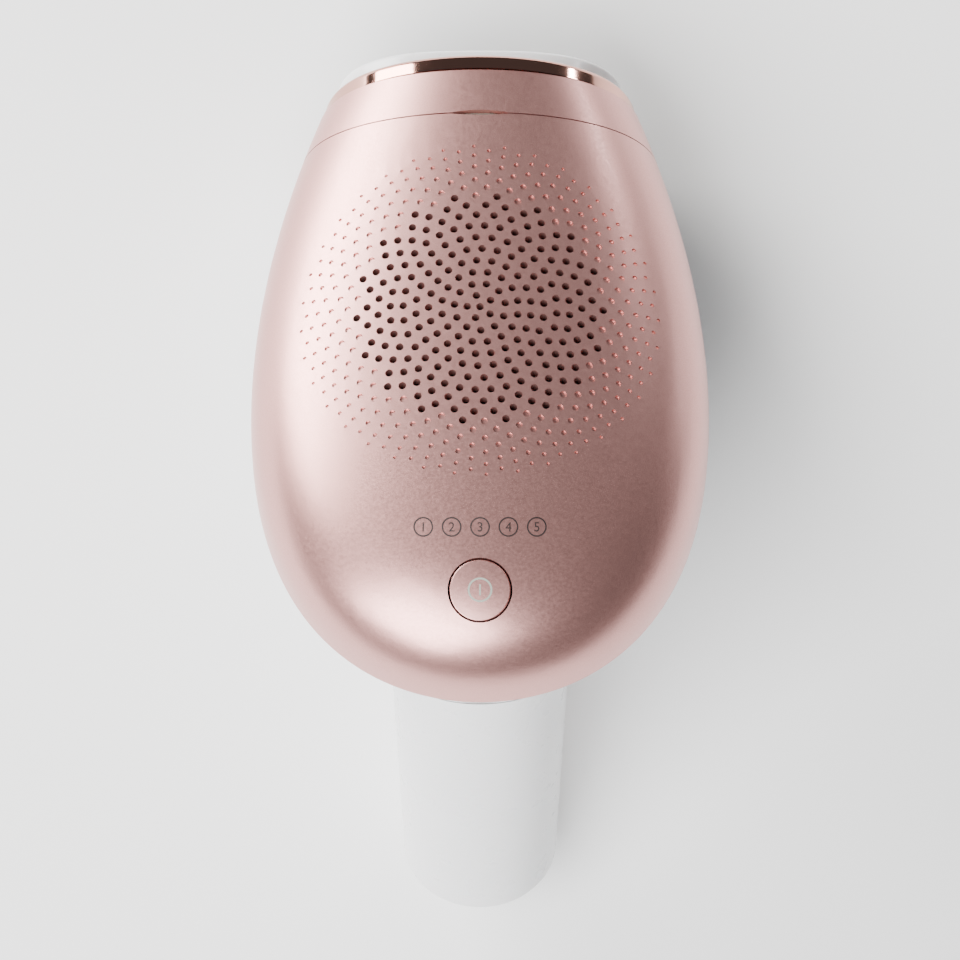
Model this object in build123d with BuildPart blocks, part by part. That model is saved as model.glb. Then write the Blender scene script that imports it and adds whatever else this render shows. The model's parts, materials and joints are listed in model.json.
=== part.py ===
from build123d import *
import os
from math import atan2, cos, degrees, hypot, pi, radians, sin, sqrt

os.makedirs("parts", exist_ok=True)

# An IPL hair remover lying on a table: it rests on the front ring and on the end of the handle.
# The deck frame (x, y, z) is used for the head: its origin is the middle of the power button,
# y runs to the treatment window and z is the way that the rear cover is drawn from its mould.
# The table is the XY plane and the window faces +Y and down.

# Driving dimensions, in millimetres and degrees
DECK_TILT = 30.0
BUTTON_Y = -19.08
BUTTON_Z = 82.9
HEAD_LENGTH = 119.0
HEAD_FRONT = 106.6
RIM_FRONT = -11.5
RIM_TAIL = -19.7
COVER_CROWN = 26.7
COVER_BULGE = 0.366
COVER_POWER = 3
KEEL_DEPTH = 22.5
KEEL_POWER = 6
TAIL_POWER = 2.6
KEEL_RAKE = 0.75
WALL = 2.0
PARTING = 94.1
PARTING_GAP = 0.25
COLLAR_FRONT = 103.4
RING_BACK = 103.6
RING_WIDTH = 3.4
VENT_Y = 54.0
HOLE_RADIUS = 0.71
RING_PITCH = 2.36
FIRST_PITCH = 2.25
PITCH_RATIO = 0.915
BUTTON_RADIUS = 5.5
BUTTON_SLOPE = 16.6
LEVEL_COUNT = 5
LEVEL_PITCH = 5.15
LEVEL_Y = 12.0
WINDOW_Z = -10.5
WINDOW_WIDTH = 34.0
WINDOW_HEIGHT = 15.0
ATTACH_BACK = 106.6
ATTACH_FRONT = 112.6
HANDLE_LEAN = 11.4
HANDLE_Y = 4.2
HANDLE_Z = -23.5
HANDLE_TOP_RADIUS = 16.7
HANDLE_END_RADIUS = 14.6
HANDLE_LENGTH = 68.5
NECK_FILLET = 1.5
TRIGGER_FROM = 28.0
TRIGGER_LENGTH = 19.0
TRIGGER_WIDTH = 11.0
INLET_RADIUS = 2.75
INLET_DEPTH = 9.0
FAN_SIZE = 38.0
FAN_TOP = 2.8
FAN_THICKNESS = 10.0
BOARD = 1.6

tilt = radians(DECK_TILT)
lean = radians(HANDLE_LEAN)
slope = radians(BUTTON_SLOPE)
deck = Plane(origin=(0, BUTTON_Y, BUTTON_Z), x_dir=(1, 0, 0), z_dir=(0, sin(tilt), cos(tilt)))
side = Plane(origin=deck.origin, x_dir=deck.y_dir, z_dir=(1, 0, 0))


def deck_plane(y, z, normal, x_dir=(1, 0, 0)):
    """A plane through the deck-frame point (0, y, z), facing the deck-frame direction (0, *normal)."""
    facing = deck.y_dir * normal[0] + deck.z_dir * normal[1]
    return Plane(origin=deck.from_local_coords((0, y, z)), x_dir=x_dir, z_dir=facing)


def rim(y):
    """Height of the split between the rear cover and the white body, in the deck frame."""
    return RIM_FRONT + (RIM_TAIL - RIM_FRONT) * (HEAD_FRONT - y) / HEAD_LENGTH


def across(y, z=None):
    """The plane across the head at y, facing the window side, with its origin on the rim plane."""
    return deck_plane(y, rim(y) if z is None else z, (1, 0), x_dir=(-1, 0, 0))


def half_width(t):
    """Half the width of the egg plan, as a share of the way from the front (0) to the tail (1)."""
    return 29.86 + 47.83 * t - 26.76 * t**2 + 18.5 * t**3


def skin_point(s, v, inset, height, bulge, power):
    """A point of the egg skin; s and v map a square patch onto half of the plan, a little past its rim."""
    over = 1.12
    p = over * s * sqrt(1 - v * v / 2)
    q = over * v * sqrt(1 - s * s / 2)
    reach = hypot(p, q)
    angle = reach * pi / 2
    stretch = sqrt(1 - cos(angle) * abs(cos(angle)) ** (power - 1)) / reach if reach > 0.001 else 1.2
    if reach <= 0.001:
        stretch = sqrt(power / 2) * pi / 2
    t = stretch * q
    y = HEAD_FRONT - (HEAD_LENGTH - inset) * t
    x = (half_width(t) - inset) * stretch * p
    z = rim(HEAD_FRONT - HEAD_LENGTH * t) + (height - inset) * (1 + bulge * t**4) * cos(angle)
    return x, y, z


def skin(inset, lower):
    """The skin of the rear cover, or that of the keel below the rim."""
    columns = 33
    rows = 25
    overlap = 0.08
    grid = []
    for i in range(rows):
        v = -overlap + (1 + overlap) * i / (rows - 1)
        row = []
        for j in range(columns):
            s = 2 * j / (columns - 1) - 1
            if lower:
                power = KEEL_POWER + (TAIL_POWER - KEEL_POWER) * max(v, 0)
                x, y, z = skin_point(s, v, inset + 0.4, KEEL_DEPTH + 0.4, 0, power)
                depth = z - rim(y)
                z = rim(y) - depth
                y += KEEL_RAKE * depth * (HEAD_FRONT - y) / HEAD_LENGTH
            else:
                x, y, z = skin_point(s, v, inset, COVER_CROWN, COVER_BULGE, COVER_POWER)
            row.append((x, y, z))
        grid.append(row)
    return Face.make_surface_from_array_of_points(grid, tol=0.01).moved(deck.location)


def head_form(inset, front, back=-30.0, lower=False, overlap=0.0):
    """The closed form under a skin, between two sections and the rim plane."""
    depth = -45.0 if lower else 45.0
    start = overlap if lower else -overlap
    with BuildPart() as form:
        with BuildSketch(side):
            with BuildLine():
                Polyline(
                    (back, rim(back) + start),
                    (front, rim(front) + start),
                    (front, rim(front) + depth),
                    (back, rim(back) + depth),
                    close=True,
                )
            make_face()
        extrude(amount=60, both=True)
        split(bisect_by=skin(inset, lower), keep=Keep.TOP if lower else Keep.BOTTOM)
    return form.part


def section(plane, inset):
    """The head's outline across the window axis, drawn inset from the skin."""
    points = []
    steps = 48
    for k in range(steps):
        angle = 2 * pi * k / steps
        upper = cos(angle) >= 0
        power = COVER_POWER if upper else KEEL_POWER
        height = COVER_CROWN if upper else KEEL_DEPTH
        x = sqrt(1 - abs(cos(angle)) ** power)
        x = x if sin(angle) > 0 else -x
        points.append(((half_width(0) - inset) * x, (height - inset) * cos(angle)))
    with BuildSketch(plane) as outline:
        with BuildLine():
            Spline(*points, periodic=True)
        make_face()
    return outline.sketch


def squircle(plane, half_x, half_y, power=2.8):
    """A rounded rectangle outline whose sides are all slightly bowed."""
    points = []
    steps = 40
    for k in range(steps):
        angle = 2 * pi * k / steps
        c = cos(angle)
        s = sin(angle)
        x = half_x * abs(c) ** (2 / power) * (1 if c > 0 else -1)
        y = half_y * abs(s) ** (2 / power) * (1 if s > 0 else -1)
        points.append((x, y))
    with BuildSketch(plane) as outline:
        with BuildLine():
            Spline(*points, periodic=True)
        make_face()
    return outline.sketch


def vent_rings():
    """Each ring of the vent: its radius, its number of holes and the angle of its first one."""
    rings = [(0, 1, 0), (1, 5, 34), (2, 11, 10), (3, 16, 11), (4, 21, 8), (5, 26, 5), (6, 30, 9)]
    rings = [(RING_PITCH * k, count, start) for k, count, start in rings]
    radius = 7 * RING_PITCH
    pitch = FIRST_PITCH
    for k in range(12):
        rings.append((radius, 36, 7 if k % 2 == 0 else 2))
        radius += pitch
        pitch *= PITCH_RATIO
    return rings


# Rear cover: the rose-gold egg shell, its vent, its button hole and its half of the light slot
button_plane = deck_plane(0, 0.4, (-sin(slope), cos(slope)))
vent_plane = deck_plane(VENT_Y, 30, (0, 1))
lens_plane = deck_plane(PARTING + PARTING_GAP / 2, 30, (0, 1))
LENS_HALF = 6.0
LENS_RISE = 0.55
SLEEVE_TOP = 2.6
SLEEVE_RADIUS = BUTTON_RADIUS + 1.3
THROUGH_RINGS = 10
RING_COUNT = 18
FIRST_DIMPLE = 0.64
LAST_DIMPLE = 0.31
DIMPLE_DEPTH = 0.4

with BuildSketch(lens_plane) as lens_outline:
    with BuildLine():
        ThreePointArc((-LENS_HALF, 0), (0, LENS_RISE), (LENS_HALF, 0))
        ThreePointArc((LENS_HALF, 0), (0, -LENS_RISE), (-LENS_HALF, 0))
    make_face()

with BuildPart() as dimples:
    with BuildSketch(vent_plane):
        for index, (radius, count, start) in enumerate(vent_rings()):
            if index == THROUGH_RINGS:
                with PolarLocations(radius, count // 2, start_angle=start + 10):
                    Circle(FIRST_DIMPLE)
            if index > THROUGH_RINGS:
                share = (index - THROUGH_RINGS) / (RING_COUNT - THROUGH_RINGS)
                with PolarLocations(radius, count, start_angle=start):
                    Circle(FIRST_DIMPLE + (LAST_DIMPLE - FIRST_DIMPLE) * share)
    extrude(amount=-34)
    add(head_form(DIMPLE_DEPTH, PARTING + 1, overlap=1.0), mode=Mode.SUBTRACT)

with BuildPart() as rear_cover:
    add(head_form(0, PARTING))
    add(head_form(WALL, PARTING + 1, overlap=1.0), mode=Mode.SUBTRACT)
    with BuildSketch(vent_plane):
        for index, (radius, count, start) in enumerate(vent_rings()):
            if index < THROUGH_RINGS:
                with PolarLocations(radius, count, start_angle=start):
                    Circle(HOLE_RADIUS)
            if index == THROUGH_RINGS:
                with PolarLocations(radius, count // 2, start_angle=start):
                    Circle(HOLE_RADIUS)
    extrude(amount=-34, mode=Mode.SUBTRACT)
    with BuildSketch(button_plane.offset(3)):
        Circle(BUTTON_RADIUS + 0.35)
    extrude(amount=-9, mode=Mode.SUBTRACT)
    with BuildSketch(button_plane.offset(-SLEEVE_TOP)):
        Circle(SLEEVE_RADIUS + 0.1)
    extrude(amount=-9, mode=Mode.SUBTRACT)
    add(extrude(lens_outline.sketch, amount=-24), mode=Mode.SUBTRACT)
    add(dimples.part, mode=Mode.SUBTRACT)
rear_cover.part.label = "rear_cover"
export_step(rear_cover.part, "parts/rear_cover.step")

# Front collar: the rose-gold band between the parting line and the trim ring
with BuildPart() as front_collar:
    add(head_form(0, COLLAR_FRONT, back=PARTING + PARTING_GAP))
    add(head_form(WALL, COLLAR_FRONT + 1, back=PARTING - 1, overlap=1.0), mode=Mode.SUBTRACT)
    add(extrude(lens_outline.sketch, amount=-24), mode=Mode.SUBTRACT)
front_collar.part.label = "front_collar"
export_step(front_collar.part, "parts/front_collar.step")

# White body: the keel of the head and the neck of the handle in one moulding
grip = deck_plane(HANDLE_Y, HANDLE_Z, (-sin(lean), -cos(lean)))
handle_taper = degrees(atan2(HANDLE_TOP_RADIUS - HANDLE_END_RADIUS, HANDLE_LENGTH))


def handle_form(inset, start, end, round_end):
    """The tapered round bar of the handle, from one distance along its axis to another."""
    radius = HANDLE_TOP_RADIUS - inset - start * (HANDLE_TOP_RADIUS - HANDLE_END_RADIUS) / HANDLE_LENGTH
    with BuildPart() as form:
        with BuildSketch(grip.offset(start)):
            Circle(radius)
        extrude(amount=end - start, taper=handle_taper)
        if round_end:
            fillet(form.faces().sort_by(Axis(grip.origin, grip.z_dir))[-1].edges(), round_end)
    return form.part


with BuildPart() as white_form:
    add(head_form(0, COLLAR_FRONT, lower=True))
    add(handle_form(0, 0.5, HANDLE_LENGTH, 5.0))
    fillet(white_form.edges().sort_by_distance(deck.from_local_coords((0, 24, -38)))[0], NECK_FILLET)

SHELL = 2.2
SEAM_GAP = 0.25
neck_end = deck_plane(5.8, -31.5, (-0.518, -0.855))

with BuildPart() as white_shell:
    add(white_form.part)
    add(head_form(SHELL, COLLAR_FRONT + 1, lower=True, overlap=1.0), mode=Mode.SUBTRACT)
    add(handle_form(SHELL, -4, HANDLE_LENGTH - SHELL, 3.0), mode=Mode.SUBTRACT)

with BuildPart() as head_shell:
    add(white_shell.part)
    split(bisect_by=neck_end, keep=Keep.BOTTOM)
head_shell.part.label = "head_shell"
export_step(head_shell.part, "parts/head_shell.step")

# Handle: two half shells meeting at the sides, open at the front for the trigger and at the end for the inlet
trigger_middle = grip.offset(TRIGGER_FROM + TRIGGER_LENGTH / 2)
trigger_face = Plane(origin=trigger_middle.from_local_coords((0, -HANDLE_TOP_RADIUS, 0)),
                     x_dir=(1, 0, 0), z_dir=-grip.y_dir)
end_plane = grip.offset(HANDLE_LENGTH)
INLET_BODY_RADIUS = 4.4


def handle_half(front):
    """One half of the handle below the neck, without the trigger's and the inlet's openings."""
    halves = Plane(origin=grip.origin, x_dir=(1, 0, 0), z_dir=grip.y_dir)
    cut = halves.offset(-SEAM_GAP / 4 if front else SEAM_GAP / 4)
    with BuildPart() as half:
        add(white_shell.part)
        split(bisect_by=neck_end.offset(SEAM_GAP), keep=Keep.TOP)
        split(bisect_by=cut, keep=Keep.BOTTOM if front else Keep.TOP)
        with BuildSketch(end_plane.offset(1)):
            Circle(INLET_BODY_RADIUS + 0.1)
        extrude(amount=-8, mode=Mode.SUBTRACT)
        if front:
            with BuildSketch(trigger_face.offset(6)):
                SlotOverall(TRIGGER_LENGTH, TRIGGER_WIDTH, rotation=90)
            extrude(amount=-14, mode=Mode.SUBTRACT)
    return half.part


with BuildPart() as handle_front_shell:
    add(handle_half(True))
handle_front_shell.part.label = "handle_front_shell"
export_step(handle_front_shell.part, "parts/handle_front_shell.step")

with BuildPart() as handle_rear_shell:
    add(handle_half(False))
handle_rear_shell.part.label = "handle_rear_shell"
export_step(handle_rear_shell.part, "parts/handle_rear_shell.step")

# Trim ring: the copper band round the window end
RING_WALL = 2.2
with BuildPart() as trim_ring:
    add(extrude(section(across(RING_BACK), -0.25), amount=RING_WIDTH))
    fillet(trim_ring.faces().sort_by(Axis(deck.origin, deck.y_dir))[-1].edges(), 1.2)
    add(extrude(section(across(RING_BACK - 1), RING_WALL), amount=RING_WIDTH + 2), mode=Mode.SUBTRACT)
trim_ring.part.label = "trim_ring"
export_step(trim_ring.part, "parts/trim_ring.step")

# Window stack: bezel plate, gasket and filter glass, from the front backwards
BEZEL_FRONT = 106.2
BEZEL_THICKNESS = 2.0
GASKET_THICKNESS = 0.8
GLASS_THICKNESS = 2.0
CLIP_X = 21.0
PIN_PITCH = 5.0
PIN_HEIGHT = 13.0
PIN_RADIUS = 0.8
SENSOR_Z = -14.0
SENSOR_RADIUS = 1.4
bezel_back = BEZEL_FRONT - BEZEL_THICKNESS
gasket_back = bezel_back - GASKET_THICKNESS
glass_back = gasket_back - GLASS_THICKNESS

with BuildPart() as window_bezel:
    add(extrude(section(across(bezel_back), RING_WALL + 0.25), amount=BEZEL_THICKNESS))
    with BuildSketch(across(BEZEL_FRONT, WINDOW_Z)):
        RectangleRounded(WINDOW_WIDTH, WINDOW_HEIGHT, 2.5)
        with GridLocations(2 * CLIP_X, 0, 2, 1):
            Rectangle(2.6, 8.0)
        with Locations((0, PIN_HEIGHT)):
            with GridLocations(PIN_PITCH, 0, 3, 1):
                Circle(PIN_RADIUS)
        with Locations((0, SENSOR_Z)):
            Circle(SENSOR_RADIUS)
    extrude(amount=-BEZEL_THICKNESS - 1, mode=Mode.SUBTRACT)
window_bezel.part.label = "window_bezel"
export_step(window_bezel.part, "parts/window_bezel.step")

with BuildPart() as window_gasket:
    with BuildSketch(across(bezel_back, WINDOW_Z)):
        RectangleRounded(WINDOW_WIDTH + 5, WINDOW_HEIGHT + 5, 3)
        RectangleRounded(WINDOW_WIDTH, WINDOW_HEIGHT, 2.5, mode=Mode.SUBTRACT)
    extrude(amount=-GASKET_THICKNESS)
window_gasket.part.label = "window_gasket"
export_step(window_gasket.part, "parts/window_gasket.step")

with BuildPart() as filter_glass:
    with BuildSketch(across(gasket_back, WINDOW_Z)):
        RectangleRounded(WINDOW_WIDTH + 4, WINDOW_HEIGHT + 4, 2)
    extrude(amount=-GLASS_THICKNESS)
    chamfer(filter_glass.edges(), 0.2)
filter_glass.part.label = "filter_glass"
export_step(filter_glass.part, "parts/filter_glass.step")

with BuildPart() as contact_pins:
    with BuildSketch(across(bezel_back - 1, WINDOW_Z)):
        with Locations((0, PIN_HEIGHT)):
            with GridLocations(PIN_PITCH, 0, 3, 1):
                Circle(PIN_RADIUS)
    extrude(amount=BEZEL_THICKNESS + 1.1)
contact_pins.part.label = "contact_pins"
export_step(contact_pins.part, "parts/contact_pins.step")

with BuildPart() as skin_sensor_lens:
    with BuildSketch(across(bezel_back - 0.5, WINDOW_Z)):
        with Locations((0, SENSOR_Z)):
            Circle(SENSOR_RADIUS)
    extrude(amount=BEZEL_THICKNESS + 0.4)
skin_sensor_lens.part.label = "skin_sensor_lens"
export_step(skin_sensor_lens.part, "parts/skin_sensor_lens.step")

# Attachment: a white frame that clips into the ring, with its bright inner duct
FRONT_HALF_WIDTH = 28.0
FRONT_HALF_HEIGHT = 18.7
FRONT_RAISE = 0.4
CLIP_LENGTH = 2.2
duct_width = WINDOW_WIDTH - 1
duct_height = WINDOW_HEIGHT - 1

with BuildPart() as attachment_frame:
    back_outline = squircle(across(ATTACH_BACK, WINDOW_Z), 26.0, 19.6)
    front_centre = across(ATTACH_FRONT, WINDOW_Z + FRONT_RAISE)
    front_outline = squircle(front_centre, FRONT_HALF_WIDTH, FRONT_HALF_HEIGHT)
    add(loft([back_outline, front_outline], mode=Mode.PRIVATE))
    fillet(attachment_frame.faces().sort_by(Axis(deck.origin, deck.y_dir))[-1].edges(), 1.0)
    with BuildSketch(across(ATTACH_FRONT + 1, WINDOW_Z)):
        RectangleRounded(duct_width, duct_height, 2.0)
        with Locations((0, SENSOR_Z)):
            Circle(SENSOR_RADIUS)
    extrude(amount=-8, mode=Mode.SUBTRACT)
    with BuildSketch(across(ATTACH_BACK, WINDOW_Z)):
        with GridLocations(2 * CLIP_X, 0, 2, 1):
            Rectangle(1.8, 6.0)
    extrude(amount=-CLIP_LENGTH)
attachment_frame.part.label = "attachment_frame"
export_step(attachment_frame.part, "parts/attachment_frame.step")

with BuildPart() as attachment_duct:
    with BuildSketch(across(ATTACH_BACK, WINDOW_Z)):
        RectangleRounded(duct_width, duct_height, 2.0)
        RectangleRounded(duct_width - 1.6, duct_height - 1.6, 1.2, mode=Mode.SUBTRACT)
    extrude(amount=ATTACH_FRONT - ATTACH_BACK - 0.6)
attachment_duct.part.label = "attachment_duct"
export_step(attachment_duct.part, "parts/attachment_duct.step")

# Lamp: parabolic reflector, xenon tube, end caps and the two holders on the lamp carrier
LAMP_Y = 92.0
LAMP_RADIUS = 2.3
LAMP_LENGTH = 44.0
REFLECTOR_DEPTH = glass_back - 0.3 - 86.0
REFLECTOR_HALF = 7.2
REFLECTOR_WALL = 0.6
HOLDER_X = 20.5
reflector_back = 86.0


with BuildPart() as lamp_reflector:
    with BuildSketch(side):
        with BuildLine():
            ThreePointArc((reflector_back + REFLECTOR_DEPTH, WINDOW_Z + REFLECTOR_HALF + REFLECTOR_WALL),
                          (reflector_back - REFLECTOR_WALL, WINDOW_Z),
                          (reflector_back + REFLECTOR_DEPTH, WINDOW_Z - REFLECTOR_HALF - REFLECTOR_WALL))
            Line((reflector_back + REFLECTOR_DEPTH, WINDOW_Z - REFLECTOR_HALF - REFLECTOR_WALL),
                 (reflector_back + REFLECTOR_DEPTH, WINDOW_Z + REFLECTOR_HALF + REFLECTOR_WALL))
        make_face()
    extrude(amount=17, both=True)
    with BuildSketch(side):
        with BuildLine():
            ThreePointArc((reflector_back + REFLECTOR_DEPTH, WINDOW_Z + REFLECTOR_HALF),
                          (reflector_back, WINDOW_Z),
                          (reflector_back + REFLECTOR_DEPTH, WINDOW_Z - REFLECTOR_HALF))
            Line((reflector_back + REFLECTOR_DEPTH, WINDOW_Z - REFLECTOR_HALF),
                 (reflector_back + REFLECTOR_DEPTH, WINDOW_Z + REFLECTOR_HALF))
        make_face()
    extrude(amount=16.4, both=True, mode=Mode.SUBTRACT)
    with BuildSketch(side):
        with Locations((LAMP_Y, WINDOW_Z)):
            Circle(LAMP_RADIUS + 0.3)
    extrude(amount=20, both=True, mode=Mode.SUBTRACT)
lamp_reflector.part.label = "lamp_reflector"
export_step(lamp_reflector.part, "parts/lamp_reflector.step")

with BuildPart() as flash_lamp:
    with BuildSketch(side):
        with Locations((LAMP_Y, WINDOW_Z)):
            Circle(LAMP_RADIUS)
            Circle(LAMP_RADIUS - 0.5, mode=Mode.SUBTRACT)
    extrude(amount=LAMP_LENGTH / 2 - 3, both=True)
flash_lamp.part.label = "flash_lamp"
export_step(flash_lamp.part, "parts/flash_lamp.step")


def lamp_end(sign):
    """One metal end cap of the lamp, with the electrode that reaches into the tube."""
    start = side.offset(sign * (LAMP_LENGTH / 2 - 3))
    with BuildPart() as cap:
        with BuildSketch(start):
            with Locations((LAMP_Y, WINDOW_Z)):
                Circle(LAMP_RADIUS)
        extrude(amount=sign * 3)
        with BuildSketch(start):
            with Locations((LAMP_Y, WINDOW_Z)):
                Circle(0.8)
        extrude(amount=-sign * 5)
    return cap.part


with BuildPart() as lamp_caps:
    add(lamp_end(1))
    add(lamp_end(-1))
lamp_caps.part.label = "lamp_caps"
export_step(lamp_caps.part, "parts/lamp_caps.step")

with BuildPart() as lamp_holders:
    with BuildSketch(side):
        with Locations((LAMP_Y, WINDOW_Z)):
            RectangleRounded(13, 12, 2)
            Circle(LAMP_RADIUS + 0.02, mode=Mode.SUBTRACT)
    extrude(amount=HOLDER_X + 1.5, both=True)
    with BuildSketch(side):
        with Locations((LAMP_Y, WINDOW_Z)):
            Rectangle(14, 13)
    extrude(amount=HOLDER_X - 2, both=True, mode=Mode.SUBTRACT)
lamp_holders.part.label = "lamp_holders"
export_step(lamp_holders.part, "parts/lamp_holders.step")

# Lamp carrier: the rectangular sleeve behind the bezel that holds the lamp and the glass
CARRIER_BACK = 84.2
with BuildPart() as lamp_carrier:
    with BuildSketch(across(bezel_back, WINDOW_Z)):
        RectangleRounded(48.6, 24.2, 4)
        RectangleRounded(44.8, 21.6, 2.5, mode=Mode.SUBTRACT)
    extrude(amount=CARRIER_BACK - bezel_back)
lamp_carrier.part.label = "lamp_carrier"
export_step(lamp_carrier.part, "parts/lamp_carrier.step")

# Chassis: the plate across the head that carries the fan, the boards and the lamp
CHASSIS_TOP = -18.6
CHASSIS_THICKNESS = 1.8
with BuildPart() as chassis:
    with BuildSketch(deck.offset(CHASSIS_TOP)):
        with Locations((0, 51)):
            RectangleRounded(50, 62, 8)
        with Locations((0, VENT_Y)):
            Circle(14, mode=Mode.SUBTRACT)
            with GridLocations(32, 32, 2, 2):
                Circle(1.1, mode=Mode.SUBTRACT)
        with Locations((0, 24)):
            RectangleRounded(22, 5, 1.5, mode=Mode.SUBTRACT)
    extrude(amount=-CHASSIS_THICKNESS)
chassis.part.label = "chassis"
export_step(chassis.part, "parts/chassis.step")

with BuildPart(deck) as fan_posts:
    with Locations((0, VENT_Y, (CHASSIS_TOP + FAN_TOP - FAN_THICKNESS) / 2)):
        with GridLocations(32, 32, 2, 2):
            Cylinder(2.2, FAN_TOP - FAN_THICKNESS - CHASSIS_TOP)
            Cylinder(1.1, FAN_TOP - FAN_THICKNESS - CHASSIS_TOP, mode=Mode.SUBTRACT)
fan_posts.part.label = "fan_posts"
export_step(fan_posts.part, "parts/fan_posts.step")

with BuildPart(deck) as fan_screws:
    with Locations((0, VENT_Y, (FAN_TOP + CHASSIS_TOP - CHASSIS_THICKNESS) / 2 - 0.5)):
        with GridLocations(32, 32, 2, 2):
            Cylinder(1.0, FAN_TOP - CHASSIS_TOP + CHASSIS_THICKNESS - 1)
    with Locations((0, VENT_Y, CHASSIS_TOP - CHASSIS_THICKNESS - 0.6)):
        with GridLocations(32, 32, 2, 2):
            Cylinder(1.9, 1.2)
fan_screws.part.label = "fan_screws"
export_step(fan_screws.part, "parts/fan_screws.step")

# Fan: frame with struts, stator with its shaft, and the rotor that turns on it
ROTOR_RADIUS = 17.2
HUB_RADIUS = 8.0
SHAFT_RADIUS = 1.2
BLADES = 7
fan_base = deck_plane(VENT_Y, FAN_TOP - FAN_THICKNESS, (0, 1))
with BuildPart() as fan_frame:
    with BuildSketch(fan_base):
        RectangleRounded(FAN_SIZE, FAN_SIZE, 3)
        Circle(ROTOR_RADIUS + 0.6, mode=Mode.SUBTRACT)
        with GridLocations(32, 32, 2, 2):
            Circle(1.1, mode=Mode.SUBTRACT)
    extrude(amount=FAN_THICKNESS)
    with BuildSketch(fan_base):
        Circle(HUB_RADIUS)
        with PolarLocations((HUB_RADIUS + ROTOR_RADIUS + 1) / 2, 3, start_angle=30):
            Rectangle(ROTOR_RADIUS + 1 - HUB_RADIUS + 1, 2.0)
    extrude(amount=1.2)
fan_frame.part.label = "fan_frame"
export_step(fan_frame.part, "parts/fan_frame.step")

with BuildPart() as fan_motor:
    with BuildSketch(fan_base.offset(1.2)):
        Circle(5.5)
    extrude(amount=4.6)
    with BuildSketch(fan_base.offset(5.8)):
        Circle(SHAFT_RADIUS)
    extrude(amount=3.4)
fan_motor.part.label = "fan_motor"
export_step(fan_motor.part, "parts/fan_motor.step")


def fan_blade(angle):
    """One pitched blade, from the hub wall out to the rotor's edge."""
    length = ROTOR_RADIUS - HUB_RADIUS + 0.6
    with BuildPart(fan_base.offset(5.6)) as blade:
        with Locations((Location((0, 0, 0), (0, 0, angle)))):
            with Locations(Location((HUB_RADIUS - 0.6 + length / 2, 0, 0), (38, 0, 0))):
                Box(length, 6.4, 0.9)
    return blade.part


with BuildPart() as fan_rotor:
    with BuildSketch(fan_base.offset(2.0)):
        Circle(HUB_RADIUS)
    extrude(amount=7.2)
    for blade_index in range(BLADES):
        add(fan_blade(blade_index * 360 / BLADES))
    with BuildSketch(fan_base.offset(1.9)):
        Circle(HUB_RADIUS - 1.2)
    extrude(amount=5.3, mode=Mode.SUBTRACT)
    with BuildSketch(fan_base.offset(1.9)):
        Circle(SHAFT_RADIUS + 0.05)
    extrude(amount=7.4, mode=Mode.SUBTRACT)
fan_rotor.part.label = "fan_rotor"
export_step(fan_rotor.part, "parts/fan_rotor.step")

# Dust screen: a thin slotted disc on top of the fan frame
with BuildPart() as dust_screen:
    with BuildSketch(deck_plane(VENT_Y, FAN_TOP, (0, 1))):
        Circle(18.4)
        with GridLocations(0, 3.0, 1, 9):
            SlotOverall(22, 1.6, mode=Mode.SUBTRACT)
    extrude(amount=0.5)
dust_screen.part.label = "dust_screen"
export_step(dust_screen.part, "parts/dust_screen.step")

# Power button: round cap with an inlaid light icon, in a dark sleeve under the cover
CAP_THICKNESS = 3.6
ICON_RADIUS = 2.05
ICON_LINE = 0.34
ICON_DEPTH = 0.5
CAP_SINK = 0.08
cap_top = button_plane.offset(-0.1)

with BuildSketch(cap_top) as icon_outline:
    Circle(ICON_RADIUS + ICON_LINE / 2)
    Circle(ICON_RADIUS - ICON_LINE / 2, mode=Mode.SUBTRACT)
    Rectangle(0.3, 2.0)

with BuildPart() as power_button:
    with BuildSketch(cap_top.offset(-CAP_THICKNESS)):
        Circle(BUTTON_RADIUS)
    extrude(amount=CAP_THICKNESS + 0.5)
    add(head_form(CAP_SINK, PARTING, overlap=1.0), mode=Mode.INTERSECT)
    fillet(power_button.faces().sort_by(Axis(button_plane.origin, button_plane.z_dir))[-1].edges(), 0.2)
    with BuildSketch(cap_top.offset(-CAP_THICKNESS)):
        Circle(1.6)
    extrude(amount=-0.7)
    add(extrude(icon_outline.sketch, amount=ICON_DEPTH, both=True), mode=Mode.SUBTRACT)
power_button.part.label = "power_button"
export_step(power_button.part, "parts/power_button.step")

with BuildPart() as power_icon:
    add(extrude(icon_outline.sketch, amount=ICON_DEPTH, both=True))
    add(head_form(CAP_SINK, PARTING, overlap=1.0), mode=Mode.INTERSECT)
power_icon.part.label = "power_icon"
export_step(power_icon.part, "parts/power_icon.step")

with BuildPart() as button_sleeve:
    with BuildSketch(button_plane.offset(-SLEEVE_TOP - 0.1)):
        Circle(SLEEVE_RADIUS)
        Circle(BUTTON_RADIUS + 0.3, mode=Mode.SUBTRACT)
    extrude(amount=-2.6)
button_sleeve.part.label = "button_sleeve"
export_step(button_sleeve.part, "parts/button_sleeve.step")

# Control board under the button and the level marks, with the key switch and the level lights
UI_DEPTH = 7.6
ui_plane = deck_plane(0, 0.4, (-sin(slope), cos(slope)))
with BuildPart() as ui_board:
    with BuildSketch(ui_plane.offset(-UI_DEPTH)):
        with Locations((0, 5)):
            RectangleRounded(30, 22, 3)
    extrude(amount=-BOARD)
ui_board.part.label = "ui_board"
export_step(ui_board.part, "parts/ui_board.step")

with BuildPart(ui_plane) as key_switch:
    with Locations((0, 0, -UI_DEPTH + 1.0)):
        Box(4.5, 4.5, 2.0)
    with Locations((0, 0, -UI_DEPTH + 2.25)):
        Cylinder(1.1, 0.5)
key_switch.part.label = "key_switch"
export_step(key_switch.part, "parts/key_switch.step")

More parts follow.
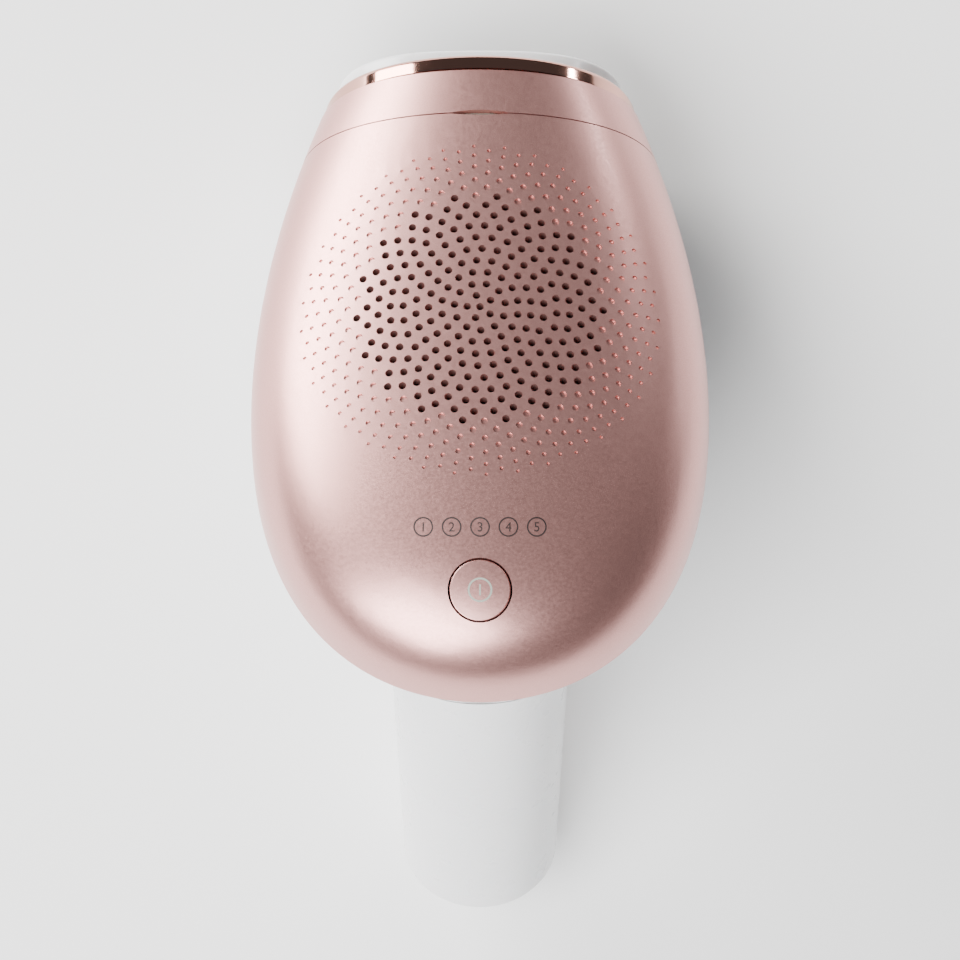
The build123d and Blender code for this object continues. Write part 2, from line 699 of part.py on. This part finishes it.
with BuildPart(ui_plane) as level_lights:
    with Locations((0, LEVEL_Y, -UI_DEPTH + 0.4)):
        with GridLocations(LEVEL_PITCH, 0, LEVEL_COUNT, 1):
            Box(1.6, 0.8, 0.8)
level_lights.part.label = "level_lights"
export_step(level_lights.part, "parts/level_lights.step")

with BuildPart(ui_plane) as light_baffle:
    with Locations((0, LEVEL_Y, -UI_DEPTH + 1.7)):
        Box(LEVEL_COUNT * LEVEL_PITCH, 4.0, 3.4)
        with GridLocations(LEVEL_PITCH, 0, LEVEL_COUNT, 1):
            Cylinder(1.5, 3.4, mode=Mode.SUBTRACT)
light_baffle.part.label = "light_baffle"
export_step(light_baffle.part, "parts/light_baffle.step")

# Ready light: a thin clear lens standing in the slot on the parting line, with its light board
with BuildPart() as ready_light_lens:
    with BuildSketch(deck_plane(PARTING + PARTING_GAP / 2, 13.2, (0, 1))):
        with BuildLine():
            ThreePointArc((-LENS_HALF + 0.3, 0), (0, LENS_RISE - 0.06), (LENS_HALF - 0.3, 0))
            ThreePointArc((LENS_HALF - 0.3, 0), (0, -LENS_RISE + 0.06), (-LENS_HALF + 0.3, 0))
        make_face()
    extrude(amount=-3.2)
    with BuildSketch(deck_plane(PARTING + PARTING_GAP / 2, 10.4, (0, 1))):
        RectangleRounded(14, 3, 1)
    extrude(amount=-1.2)
ready_light_lens.part.label = "ready_light_lens"
export_step(ready_light_lens.part, "parts/ready_light_lens.step")

with BuildPart(deck) as ready_light_board:
    with Locations((0, PARTING, 7.6)):
        Box(16, 6, 1.0)
    with Locations((0, PARTING, 8.5)):
        with GridLocations(5, 0, 2, 1):
            Box(1.6, 0.8, 0.8)
ready_light_board.part.label = "ready_light_board"
export_step(ready_light_board.part, "parts/ready_light_board.step")

# Power stage under the chassis: board, two flash capacitors and the trigger transformer
CAPACITOR_RADIUS = 4.5
CAPACITOR_LENGTH = 30.0
BOARD_TOP = CHASSIS_TOP - CHASSIS_THICKNESS
with BuildPart(deck) as power_board:
    with Locations((0, 68, BOARD_TOP - BOARD / 2)):
        Box(28, 25, BOARD)
power_board.part.label = "power_board"
export_step(power_board.part, "parts/power_board.step")

with BuildPart(deck) as flash_capacitor:
    with Locations((0, 62, BOARD_TOP - BOARD - CAPACITOR_RADIUS)):
        Cylinder(CAPACITOR_RADIUS, CAPACITOR_LENGTH, rotation=(0, 90, 0))
    fillet(flash_capacitor.edges().filter_by(GeomType.CIRCLE), 0.6)
flash_capacitor.part.label = "flash_capacitor"
export_step(flash_capacitor.part, "parts/flash_capacitor.step")

with BuildPart(deck) as trigger_transformer:
    with Locations((-7, 74, BOARD_TOP - BOARD - 3.5)):
        Box(10, 9, 7)
trigger_transformer.part.label = "trigger_transformer"
export_step(trigger_transformer.part, "parts/trigger_transformer.step")

# Main board and reservoir capacitor in the handle
BOARD_OFFSET = -2.6
with BuildPart(grip) as main_board:
    with Locations((0, BOARD_OFFSET, 30)):
        Box(22, BOARD, 52)
main_board.part.label = "main_board"
export_step(main_board.part, "parts/main_board.step")

with BuildPart(grip) as reservoir_capacitor:
    with Locations((4.6, BOARD_OFFSET + BOARD / 2 + 3.6, 30)):
        Cylinder(3.6, 22)
reservoir_capacitor.part.label = "reservoir_capacitor"
export_step(reservoir_capacitor.part, "parts/reservoir_capacitor.step")

with BuildPart(grip) as controller_chip:
    with Locations((-5, BOARD_OFFSET + BOARD / 2 + 0.6, 34)):
        Box(8, 1.2, 8)
controller_chip.part.label = "controller_chip"
export_step(controller_chip.part, "parts/controller_chip.step")

# Flash trigger: the long button at the front of the handle, its flange and its switch
TRIGGER_PROUD = 1.6
TRIGGER_GAP = 0.35
with BuildPart() as flash_trigger:
    with BuildSketch(trigger_face.offset(-6.4)):
        SlotOverall(TRIGGER_LENGTH - 2 * TRIGGER_GAP, TRIGGER_WIDTH - 2 * TRIGGER_GAP, rotation=90)
    extrude(amount=6.4 + TRIGGER_PROUD - 0.6)
    fillet(flash_trigger.faces().sort_by(Axis(trigger_face.origin, trigger_face.z_dir))[-1].edges(), 1.2)
    with BuildSketch(trigger_face.offset(-6.4)):
        Rectangle(TRIGGER_WIDTH - 1, TRIGGER_LENGTH + 2)
    extrude(amount=1.4)
flash_trigger.part.label = "flash_trigger"
export_step(flash_trigger.part, "parts/flash_trigger.step")

with BuildPart(trigger_face) as trigger_switch:
    with Locations((0, 0, -13.2 + 2.2)):
        Box(6.5, 6.5, 4.4)
    with Locations((0, 0, -8.5)):
        Cylinder(1.2, 0.6)
trigger_switch.part.label = "trigger_switch"
export_step(trigger_switch.part, "parts/trigger_switch.step")

# Power inlet: a round socket in the end of the handle with its bright trim washer
with BuildPart() as power_inlet:
    with BuildSketch(end_plane.offset(-0.4)):
        Circle(INLET_BODY_RADIUS)
    extrude(amount=-11.6)
    with BuildSketch(end_plane.offset(-0.4)):
        Circle(INLET_RADIUS)
    extrude(amount=-INLET_DEPTH, mode=Mode.SUBTRACT)
power_inlet.part.label = "power_inlet"
export_step(power_inlet.part, "parts/power_inlet.step")
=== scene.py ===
import json
import math

import bmesh
import bpy
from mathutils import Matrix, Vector
from mathutils.bvhtree import BVHTree


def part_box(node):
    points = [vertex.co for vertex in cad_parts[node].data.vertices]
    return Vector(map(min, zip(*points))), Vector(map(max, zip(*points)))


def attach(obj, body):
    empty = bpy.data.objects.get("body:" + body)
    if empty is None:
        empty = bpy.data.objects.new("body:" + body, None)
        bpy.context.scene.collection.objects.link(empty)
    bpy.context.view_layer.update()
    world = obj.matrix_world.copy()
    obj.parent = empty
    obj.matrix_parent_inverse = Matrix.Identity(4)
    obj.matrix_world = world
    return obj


MM = 0.001

# The level marks: printed rings with digits, in a row above the power button
MARK_COUNT = 5
MARK_PITCH = 5.13 * MM
MARK_RISE = 11.7 * MM
RING_RADIUS = 1.66 * MM
RING_LINE = 0.27 * MM
DIGIT_HEIGHT = 1.75 * MM
INK_LIFT = 0.02 * MM
INK_DEPTH = 0.06 * MM

# The camera: straight above the device as it lies, 0.9 m over the power button
CAMERA_HEIGHT = 0.9
CAMERA_LENS = 187.5
CAMERA_SENSOR = 36
CAMERA_FORWARD = 20.16 * MM
FAR_CLIP = 20

# The stage: floor side and its gap below the device, in metres
FLOOR_SIDE = 6
FLOOR_GAP = 0.2 * MM
FLOOR_GREY = (0.93, 0.93, 0.93, 1)

# The lights: name, place, size, power in watts and colour, all aimed at one point
LIGHT_TARGET = (0, 0, 0.05)
LIGHTS = (
    ("key_left", (-0.60, 0.62, 0.30), (0.55, 0.42), 17, (1.0, 0.985, 0.96)),
    ("ceiling", (-0.41, -0.37, 0.96), (0.90, 0.85), 35, (1, 1, 1)),
    ("strip_right", (0.85, 0.42, 0.03), (0.10, 0.12), 0.25, (1, 1, 1)),
    ("ring_right", (0.55, 0.70, 0.20), (0.07, 0.06), 0.7, (1, 1, 1)),
)
FILL_STRENGTH = 0.09


# ---------------------------------------------------------------- materials

def new_material(name):
    """An empty node material; returns it with its tree and its principled shader."""
    material = bpy.data.materials.new(name)
    material.use_nodes = True
    tree = material.node_tree
    return material, tree, tree.nodes["Principled BSDF"]


def add_node(tree, kind, **inputs):
    """A node of this kind with its named inputs set."""
    node = tree.nodes.new(kind)
    for key, value in inputs.items():
        node.inputs[key.replace("_", " ")].default_value = value
    return node


def ramp(tree, source, low, high, start=0.3, stop=0.7):
    """A ramp between two greys or two colours, fed by a value."""
    node = tree.nodes.new("ShaderNodeValToRGB")
    node.color_ramp.elements[0].position = start
    node.color_ramp.elements[1].position = stop
    for element, value in zip(node.color_ramp.elements, (low, high)):
        element.color = (*value, 1) if isinstance(value, tuple) else (value, value, value, 1)
    tree.links.new(source, node.inputs["Fac"])
    return node.outputs["Color"]


def object_noise(tree, scale, detail=3.0):
    """Noise in the object's own metres."""
    place = tree.nodes.new("ShaderNodeTexCoord")
    noise = add_node(tree, "ShaderNodeTexNoise", Scale=scale, Detail=detail)
    tree.links.new(place.outputs["Object"], noise.inputs["Vector"])
    return noise.outputs["Fac"]


def grain(tree, shader, scale, distance, strength=0.5):
    """Fine surface grain as a bump."""
    bump = add_node(tree, "ShaderNodeBump", Strength=strength, Distance=distance)
    tree.links.new(object_noise(tree, scale), bump.inputs["Height"])
    tree.links.new(bump.outputs["Normal"], shader.inputs["Normal"])


def moulded(name, dark, light, roughness=(0.3, 0.4), metallic=0.0, fine=2500, grain_depth=0.00001,
            **sockets):
    """Moulded or plated stock: slight drift of colour, mottled gloss and a fine grain."""
    material, tree, shader = new_material(name)
    shader.inputs["Metallic"].default_value = metallic
    for key, value in sockets.items():
        shader.inputs[key.replace("_", " ")].default_value = value
    tree.links.new(ramp(tree, object_noise(tree, 45), dark, light), shader.inputs["Base Color"])
    tree.links.new(ramp(tree, object_noise(tree, 220), *roughness), shader.inputs["Roughness"])
    grain(tree, shader, fine, grain_depth)
    return material


def rose_gold():
    """Satin metallic lacquer: fine flakes under a thin clear coat."""
    material, tree, shader = new_material("rose_gold_lacquer")
    shader.inputs["Metallic"].default_value = 0.92
    shader.inputs["Coat Weight"].default_value = 0.12
    shader.inputs["Coat Roughness"].default_value = 0.18
    place = tree.nodes.new("ShaderNodeTexCoord")
    flakes = add_node(tree, "ShaderNodeTexVoronoi", Scale=5200.0)
    tree.links.new(place.outputs["Object"], flakes.inputs["Vector"])
    tint = ramp(tree, flakes.outputs["Distance"], (0.62, 0.305, 0.28), (0.69, 0.365, 0.335), 0.1, 0.6)
    tree.links.new(tint, shader.inputs["Base Color"])
    tree.links.new(ramp(tree, object_noise(tree, 1800), 0.33, 0.40), shader.inputs["Roughness"])
    bump = add_node(tree, "ShaderNodeBump", Strength=0.12, Distance=0.00002)
    tree.links.new(flakes.outputs["Distance"], bump.inputs["Height"])
    tree.links.new(bump.outputs["Normal"], shader.inputs["Normal"])
    return material


def clear(name, tint, roughness=0.03, ior=1.5):
    """Clear or tinted glass with a faint waviness."""
    material, tree, shader = new_material(name)
    shader.inputs["Transmission Weight"].default_value = 1.0
    shader.inputs["IOR"].default_value = ior
    tree.links.new(ramp(tree, object_noise(tree, 60), tint, tuple(min(1, c * 1.05) for c in tint)),
                   shader.inputs["Base Color"])
    mottle = ramp(tree, object_noise(tree, 300), roughness, roughness * 1.6)
    tree.links.new(mottle, shader.inputs["Roughness"])
    grain(tree, shader, 400, 0.000004, 0.2)
    return material


def circuit_board():
    """Green solder mask with copper tracks showing through as darker lines."""
    material, tree, shader = new_material("circuit_board")
    place = tree.nodes.new("ShaderNodeTexCoord")
    tracks = add_node(tree, "ShaderNodeTexBrick", Scale=260.0, Mortar_Size=0.03)
    tracks.inputs["Color1"].default_value = (0.012, 0.11, 0.045, 1)
    tracks.inputs["Color2"].default_value = (0.016, 0.14, 0.055, 1)
    tracks.inputs["Mortar"].default_value = (0.03, 0.22, 0.08, 1)
    tree.links.new(place.outputs["Object"], tracks.inputs["Vector"])
    tree.links.new(tracks.outputs["Color"], shader.inputs["Base Color"])
    tree.links.new(ramp(tree, object_noise(tree, 300), 0.25, 0.35), shader.inputs["Roughness"])
    grain(tree, shader, 900, 0.00002)
    return material


def make_materials():
    """One material for each material slot of the record."""
    return {
        "rose_gold": rose_gold(),
        "copper": moulded("copper_plate", (0.62, 0.33, 0.27), (0.70, 0.38, 0.31), (0.05, 0.09), 1.0,
                          grain_depth=0.000001),
        "white_plastic": moulded("white_plastic", (0.84, 0.84, 0.85), (0.88, 0.88, 0.89), (0.26, 0.32),
                                 Coat_Weight=0.25, Coat_Roughness=0.12, Subsurface_Weight=0.05,
                                 Subsurface_Scale=0.002),
        "black_plastic": moulded("black_plastic", (0.012, 0.012, 0.013), (0.022, 0.021, 0.022), (0.45, 0.6),
                                 fine=1600, grain_depth=0.00004),
        "light_guide": moulded("light_guide", (0.27, 0.30, 0.26), (0.34, 0.37, 0.32), (0.4, 0.5)),
        "sensor_window": moulded("sensor_window", (0.05, 0.004, 0.006), (0.09, 0.008, 0.01), (0.06, 0.1)),
        "rubber": moulded("rubber", (0.02, 0.02, 0.02), (0.035, 0.034, 0.033), (0.6, 0.75), fine=1200,
                          grain_depth=0.00004),
        "reflector": moulded("reflector", (0.86, 0.86, 0.86), (0.92, 0.92, 0.92), (0.04, 0.08), 1.0,
                             grain_depth=0.000002),
        "filter_glass": clear("filter_glass", (0.95, 0.62, 0.22)),
        "lamp_glass": clear("lamp_glass", (0.93, 0.96, 0.98), ior=1.46),
        "steel": moulded("steel", (0.50, 0.50, 0.51), (0.62, 0.62, 0.62), (0.25, 0.38), 1.0),
        "gold_contact": moulded("gold_contact", (0.80, 0.58, 0.24), (0.88, 0.66, 0.30), (0.15, 0.25), 1.0),
        "ceramic": moulded("ceramic", (0.80, 0.78, 0.73), (0.87, 0.85, 0.80), (0.5, 0.65)),
        "circuit_board": circuit_board(),
        "led": moulded("led", (0.80, 0.80, 0.66), (0.90, 0.90, 0.76), (0.15, 0.25)),
        "capacitor": moulded("capacitor_sleeve", (0.015, 0.02, 0.09), (0.02, 0.03, 0.13), (0.2, 0.3)),
        "coil": moulded("coil", (0.28, 0.12, 0.03), (0.42, 0.2, 0.05), (0.3, 0.45)),
    }


def ink_material():
    """Printed ink, a dark warm grey with an uneven matte film."""
    return moulded("mark_ink", (0.012, 0.008, 0.008), (0.025, 0.017, 0.016), (0.42, 0.55), fine=3500)


# ---------------------------------------------------------------- pieces

def surface_of(node):
    """A tree of the node's mesh, to lay printed marks on it."""
    mesh = node.data
    points = [node.matrix_world @ v.co for v in mesh.vertices]
    return BVHTree.FromPolygons(points, [tuple(p.vertices) for p in mesh.polygons])


def lay_on(mesh, surface):
    """Drops every point of a flat mesh onto the surface below it."""
    down = Vector((0, 0, -1))
    for vertex in mesh.vertices:
        hit = surface.ray_cast(Vector((vertex.co.x, vertex.co.y, 1)), down)[0]
        vertex.co.z = hit.z + INK_LIFT


def ring_mesh(centre, radius, line, steps=72):
    """A flat ring in the XY plane."""
    form = bmesh.new()
    loops = []
    angles = [2 * math.pi * k / steps for k in range(steps)]
    for r in (radius - line / 2, radius + line / 2):
        corners = [(centre.x + r * math.cos(a), centre.y + r * math.sin(a), 0) for a in angles]
        loops.append([form.verts.new(corner) for corner in corners])
    for k in range(steps):
        after = (k + 1) % steps
        form.faces.new((loops[0][k], loops[1][k], loops[1][after], loops[0][after]))
    mesh = bpy.data.meshes.new("ring")
    form.to_mesh(mesh)
    form.free()
    return mesh


def digit_mesh(digit, centre):
    """One digit as a flat mesh, centred on its ring."""
    text = bpy.data.curves.new("digit", "FONT")
    text.body = str(digit)
    text.size = DIGIT_HEIGHT / 0.72
    text.resolution_u = 6
    holder = bpy.data.objects.new("digit", text)
    bpy.context.scene.collection.objects.link(holder)
    mesh = bpy.data.meshes.new_from_object(holder)
    bpy.data.objects.remove(holder)
    xs = [v.co.x for v in mesh.vertices]
    ys = [v.co.y for v in mesh.vertices]
    shift = Vector((centre.x - (min(xs) + max(xs)) / 2, centre.y - (min(ys) + max(ys)) / 2, 0))
    for vertex in mesh.vertices:
        vertex.co += shift
    return mesh


def printed(name, mesh, surface, ink, body):
    """A printed mark: the flat mesh laid on the surface as a thin film of ink."""
    lay_on(mesh, surface)
    piece = bpy.data.objects.new(name, mesh)
    bpy.context.scene.collection.objects.link(piece)
    mesh.materials.clear()
    mesh.materials.append(ink)
    film = piece.modifiers.new("film", "SOLIDIFY")
    film.thickness = INK_DEPTH
    film.offset = -1
    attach(piece, body)
    return piece


def level_marks(nodes, ink):
    """The row of ringed digits above the power button."""
    low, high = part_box("power_button")
    middle = Vector(((low[0] + high[0]) / 2, (low[1] + high[1]) / 2 + MARK_RISE, 0))
    surface = surface_of(nodes["rear_cover"])
    for k in range(MARK_COUNT):
        centre = middle + Vector(((k - (MARK_COUNT - 1) / 2) * MARK_PITCH, 0, 0))
        printed(f"level_ring_{k + 1}", ring_mesh(centre, RING_RADIUS, RING_LINE), surface, ink, "body")
        printed(f"level_digit_{k + 1}", digit_mesh(k + 1, centre), surface, ink, "body")


def dress(frame, materials):
    """Gives every CAD node the material of its slot."""
    slots = {entry["node"]: entry["material_slot"] for entry in frame["record"]["subparts"]}
    for name, node in frame["nodes"].items():
        node.data.materials.clear()
        node.data.materials.append(materials[slots[name]])


# ---------------------------------------------------------------- stage, lights and camera

def make_stage():
    """A plain pale floor under the device."""
    bpy.ops.mesh.primitive_plane_add(size=FLOOR_SIDE, location=(0, 0, -FLOOR_GAP))
    floor = bpy.context.object
    floor.name = "floor"
    material, tree, shader = new_material("pale_floor")
    shader.inputs["Base Color"].default_value = FLOOR_GREY
    shader.inputs["Roughness"].default_value = 0.9
    shader.inputs["Specular IOR Level"].default_value = 0.1
    floor.data.materials.append(material)


def area_light(name, place, size, power, colour):
    """A soft rectangular light aimed at the middle of the device."""
    light = bpy.data.lights.new(name, "AREA")
    light.shape = "RECTANGLE"
    light.size, light.size_y = size
    light.energy = power
    light.color = colour
    holder = bpy.data.objects.new(name, light)
    holder.location = place
    aim = Vector(LIGHT_TARGET) - Vector(place)
    holder.rotation_euler = aim.to_track_quat("-Z", "Y").to_euler()
    bpy.context.scene.collection.objects.link(holder)


def make_lights():
    """A broad low key from the window end's left, a soft ceiling and two small lights on the right."""
    for light in LIGHTS:
        area_light(*light)
    world = bpy.data.worlds.new("studio")
    world.use_nodes = True
    world.node_tree.nodes["Background"].inputs["Color"].default_value = (1, 1, 1, 1)
    world.node_tree.nodes["Background"].inputs["Strength"].default_value = FILL_STRENGTH
    bpy.context.scene.world = world


def make_camera():
    """Straight down on the device as it lies, window end up."""
    low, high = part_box("power_button")
    camera = bpy.data.cameras.new("camera")
    camera.lens = CAMERA_LENS
    camera.sensor_width = CAMERA_SENSOR
    camera.clip_end = FAR_CLIP
    holder = bpy.data.objects.new("camera", camera)
    holder.location = (0, (low[1] + high[1]) / 2 + CAMERA_FORWARD, high[2] + CAMERA_HEIGHT)
    bpy.context.scene.collection.objects.link(holder)
    bpy.context.scene.camera = holder


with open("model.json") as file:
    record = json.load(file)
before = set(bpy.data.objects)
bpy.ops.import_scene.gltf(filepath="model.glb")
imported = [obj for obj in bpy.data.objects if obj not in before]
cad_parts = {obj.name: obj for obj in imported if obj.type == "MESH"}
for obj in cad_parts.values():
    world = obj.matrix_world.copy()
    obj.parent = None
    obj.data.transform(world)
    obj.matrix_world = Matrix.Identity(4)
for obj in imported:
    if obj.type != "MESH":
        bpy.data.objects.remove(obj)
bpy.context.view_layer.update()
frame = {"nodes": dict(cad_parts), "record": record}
dress(frame, make_materials())
level_marks(frame["nodes"], ink_material())
make_stage()
make_lights()
make_camera()
